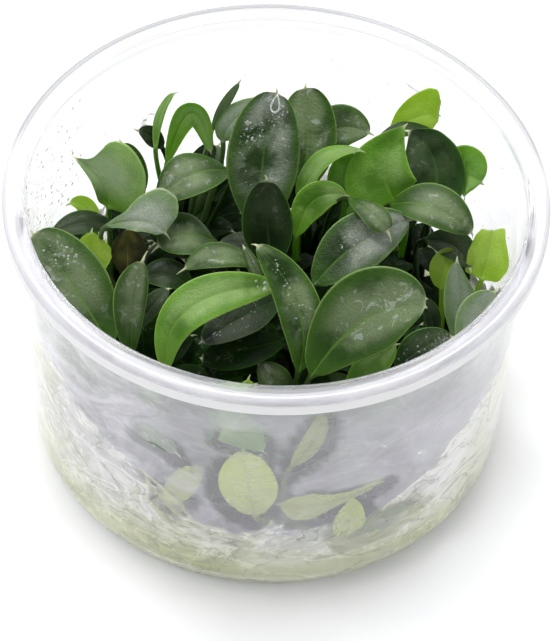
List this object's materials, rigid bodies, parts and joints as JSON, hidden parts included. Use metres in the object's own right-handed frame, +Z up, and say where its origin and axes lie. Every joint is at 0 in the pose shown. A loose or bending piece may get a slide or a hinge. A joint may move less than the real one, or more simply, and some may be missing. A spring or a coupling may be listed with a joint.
{
  "type": "tissue culture aquarium plant in a cup",
  "caption": "Clear round plastic cup, open at the top, with pale culture gel on its floor and a crowd of small dark green plantlets whose pointed oval leaves reach up to the rim.",
  "frame": {"origin": "centre of the cup's underside, on the surface it stands on", "axes": "+Z up along the cup's axis, -Y towards the viewer of the picture, +X to that viewer's right"},
  "size_m": [0.1, 0.1, 0.0625],
  "materials": {
    "cup": "thin clear plastic, glossy, hazed inside with condensation",
    "jelly": "wet culture gel, pale and half clear",
    "stem": "plant tissue, satin",
    "leaf_dark": "plant tissue, wet satin, dark green",
    "leaf_grey": "plant tissue, wet satin, grey green with a silver sheen",
    "leaf_bright": "plant tissue, satin, bright green",
    "leaf_lime": "plant tissue, satin, yellow green, lets light through",
    "leaf_pale": "plant tissue, satin, pale grey green"
  },
  "bodies": {
    "root": {"cup": "cup", "jelly": "jelly", "shoot_left": "stem", "leaf_left_winged": "leaf_grey", "leaf_left_round": "leaf_grey", "leaf_left_cupped": "leaf_pale", "leaf_left_pointing": "leaf_dark", "shoot_back_left": "stem", "leaf_back_arched": "leaf_bright", "leaf_back_leaning": "leaf_pale", "leaf_back_broad": "leaf_grey", "shoot_centre": "stem", "leaf_centre_tall": "leaf_grey", "leaf_centre_upright": "leaf_dark", "leaf_centre_left": "leaf_grey", "leaf_centre_low": "leaf_grey", "leaf_centre_shaded": "leaf_dark", "shoot_back": "stem", "leaf_back_tall": "leaf_grey", "leaf_back_right": "leaf_grey", "leaf_back_curved": "leaf_bright", "leaf_middle_rolled": "leaf_bright", "leaf_middle_narrow": "leaf_grey", "shoot_back_right": "stem", "leaf_right_lit": "leaf_bright", "leaf_right_dark": "leaf_dark", "leaf_right_edge": "leaf_bright", "leaf_right_top": "leaf_lime", "leaf_right_bowed": "leaf_dark", "leaf_right_grey": "leaf_grey", "shoot_right": "stem", "leaf_right_under": "leaf_dark", "leaf_right_lime": "leaf_lime", "shoot_front_right": "stem", "leaf_right_pale": "leaf_pale", "leaf_right_wall": "leaf_pale", "leaf_front_speckled": "leaf_grey", "shoot_middle": "stem", "leaf_middle_shiny": "leaf_grey", "leaf_front_dusky": "leaf_grey", "leaf_front_shaded": "leaf_dark", "leaf_front_lowest": "leaf_dark", "shoot_front": "stem", "leaf_front_slender": "leaf_grey", "leaf_front_broad": "leaf_grey", "leaf_front_under": "leaf_bright", "shoot_front_left": "stem", "leaf_left_big": "leaf_grey", "leaf_left_second": "leaf_grey", "leaf_front_arched": "leaf_bright", "shoot_wall_left": "stem", "leaf_wall_dark": "leaf_dark", "leaf_wall_upper": "leaf_bright", "shoot_wall": "stem", "leaf_wall_oval": "leaf_lime", "leaf_wall_strap": "leaf_pale", "leaf_wall_level": "leaf_pale", "leaf_wall_low": "leaf_lime", "leaf_wall_right": "leaf_bright"}
  },
  "joints": []
}
